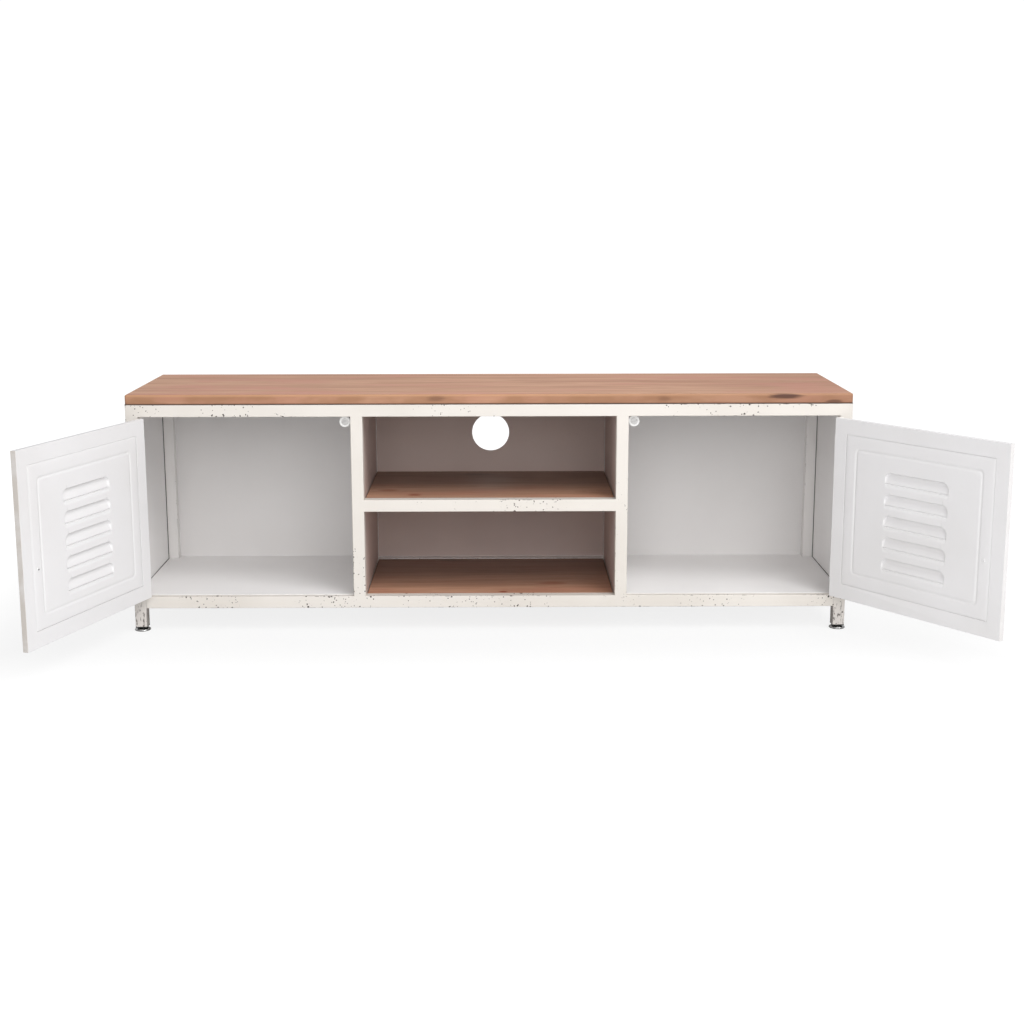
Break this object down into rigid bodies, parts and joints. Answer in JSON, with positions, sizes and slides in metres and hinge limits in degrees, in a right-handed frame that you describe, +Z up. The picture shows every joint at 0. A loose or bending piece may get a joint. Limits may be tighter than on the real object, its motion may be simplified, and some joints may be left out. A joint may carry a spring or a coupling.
{
  "type": "sideboard buffet",
  "caption": "Low sideboard buffet: painted square-tube steel frame, wood top, open middle bay with wood shelves and a cable hole, and a louvred hinged door on each side.",
  "frame": {"origin": "on the floor, at the centre of the cabinet's footprint, under the four corner posts", "axes": "+X to the right seen from the front, +Y to the back, +Z up"},
  "size_m": [1.4708, 0.6376, 0.402],
  "materials": {
    "top_wood": "stained, satin, with lengthwise grain and knots",
    "shelf_wood": "stained darker, satin",
    "frame_paint": "warm white paint, distressed with small dark chips",
    "door_paint": "white paint, satin",
    "plated_steel": "zinc plated",
    "painted_screw": "white paint over the steel head",
    "bay_paint": "matt brown-grey paint on the sheets of the middle bay",
    "black_sheet": "matt black paint",
    "magnet": "nickel plated magnet face",
    "knob_steel": "brushed",
    "chromed_steel": "bright",
    "white_plastic": "glossy",
    "dark_plastic": "matte"
  },
  "bodies": {
    "cabinet": {"tabletop": "top_wood", "top_sheet": "black_sheet", "top_screws": "plated_steel", "post_front_left": "frame_paint", "post_front_right": "frame_paint", "post_rear_left": "frame_paint", "post_rear_right": "frame_paint", "rail_top_front": "frame_paint", "rail_top_rear": "frame_paint", "rail_bottom_front": "frame_paint", "rail_bottom_rear": "frame_paint", "rail_top_left": "frame_paint", "rail_top_right": "frame_paint", "rail_bottom_left": "frame_paint", "rail_bottom_right": "frame_paint", "divider_post_front_left": "frame_paint", "divider_post_front_right": "frame_paint", "divider_post_rear_left": "frame_paint", "divider_post_rear_right": "frame_paint", "cross_rail_top_left": "frame_paint", "cross_rail_top_right": "frame_paint", "cross_rail_bottom_left": "frame_paint", "cross_rail_bottom_right": "frame_paint", "rail_middle_front": "frame_paint", "side_panel_left": "frame_paint", "side_panel_right": "frame_paint", "divider_panel_left": "bay_paint", "divider_panel_right": "bay_paint", "back_panel_left": "frame_paint", "back_panel_middle": "bay_paint", "back_panel_right": "frame_paint", "floor_left": "frame_paint", "floor_right": "frame_paint", "shelf_middle": "shelf_wood", "shelf_bottom": "shelf_wood", "shelf_bearers": "frame_paint", "shelf_screws": "plated_steel", "catch_housing_left": "white_plastic", "catch_housing_right": "white_plastic", "catch_magnet_left": "magnet", "catch_magnet_right": "magnet", "leg_plugs": "dark_plastic", "foot_front_left": "chromed_steel", "foot_front_right": "chromed_steel", "foot_rear_left": "chromed_steel", "foot_rear_right": "chromed_steel", "hinge_post_leaves_left": "frame_paint", "hinge_post_leaves_right": "frame_paint", "hinge_pins_left": "plated_steel", "hinge_pins_right": "plated_steel"},
    "door_left": {"door_frame_left": "door_paint", "door_panel_left": "door_paint", "hinge_door_leaves_left": "door_paint", "door_knob_left": "knob_steel", "knob_screw_left": "painted_screw"},
    "door_right": {"door_frame_right": "door_paint", "door_panel_right": "door_paint", "hinge_door_leaves_right": "door_paint", "door_knob_right": "knob_steel", "knob_screw_right": "painted_screw"}
  },
  "joints": [
    {"name": "door_left_hinge", "type": "hinge", "parent": "cabinet", "child": "door_left", "pos_m": [-0.579, -0.153, 0.2125], "axis": [0, 0, -1], "range_deg": [-109, 61]},
    {"name": "door_right_hinge", "type": "hinge", "parent": "cabinet", "child": "door_right", "pos_m": [0.579, -0.153, 0.2125], "axis": [0, 0, 1], "range_deg": [-125.5, 44.5]}
  ]
}
